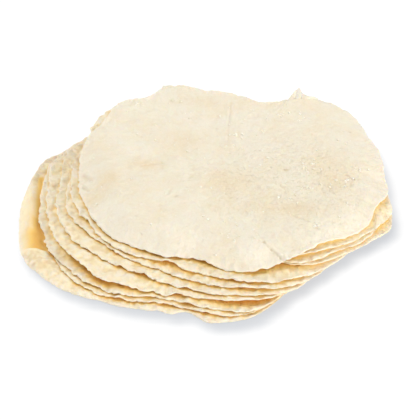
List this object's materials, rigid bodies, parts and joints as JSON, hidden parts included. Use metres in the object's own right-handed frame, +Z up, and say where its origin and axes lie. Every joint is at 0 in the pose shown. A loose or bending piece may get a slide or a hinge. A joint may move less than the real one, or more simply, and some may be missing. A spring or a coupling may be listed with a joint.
{
  "type": "stack of flour tortillas",
  "caption": "Fanned stack of thin round flour tortillas with ragged, wavy rims, lying flat on a table.",
  "frame": {"origin": "middle of the stack's bounding box, on the table", "axes": "+Z up, +X to the viewer's right along the fan of the stack, -Y towards the viewer"},
  "size_m": [0.2366, 0.2102, 0.0282],
  "materials": {
    "dough": "soft matte dough, dusted with flour, warmer towards the rim",
    "dough_top": "soft matte pale cream dough with beige mottling and loose flour"
  },
  "bodies": {
    "root": {"tortilla_01": "dough", "tortilla_02": "dough", "tortilla_03": "dough", "tortilla_04": "dough", "tortilla_05": "dough", "tortilla_06": "dough", "tortilla_07": "dough", "tortilla_08": "dough", "tortilla_09": "dough", "tortilla_10": "dough", "tortilla_11": "dough_top"}
  },
  "joints": []
}
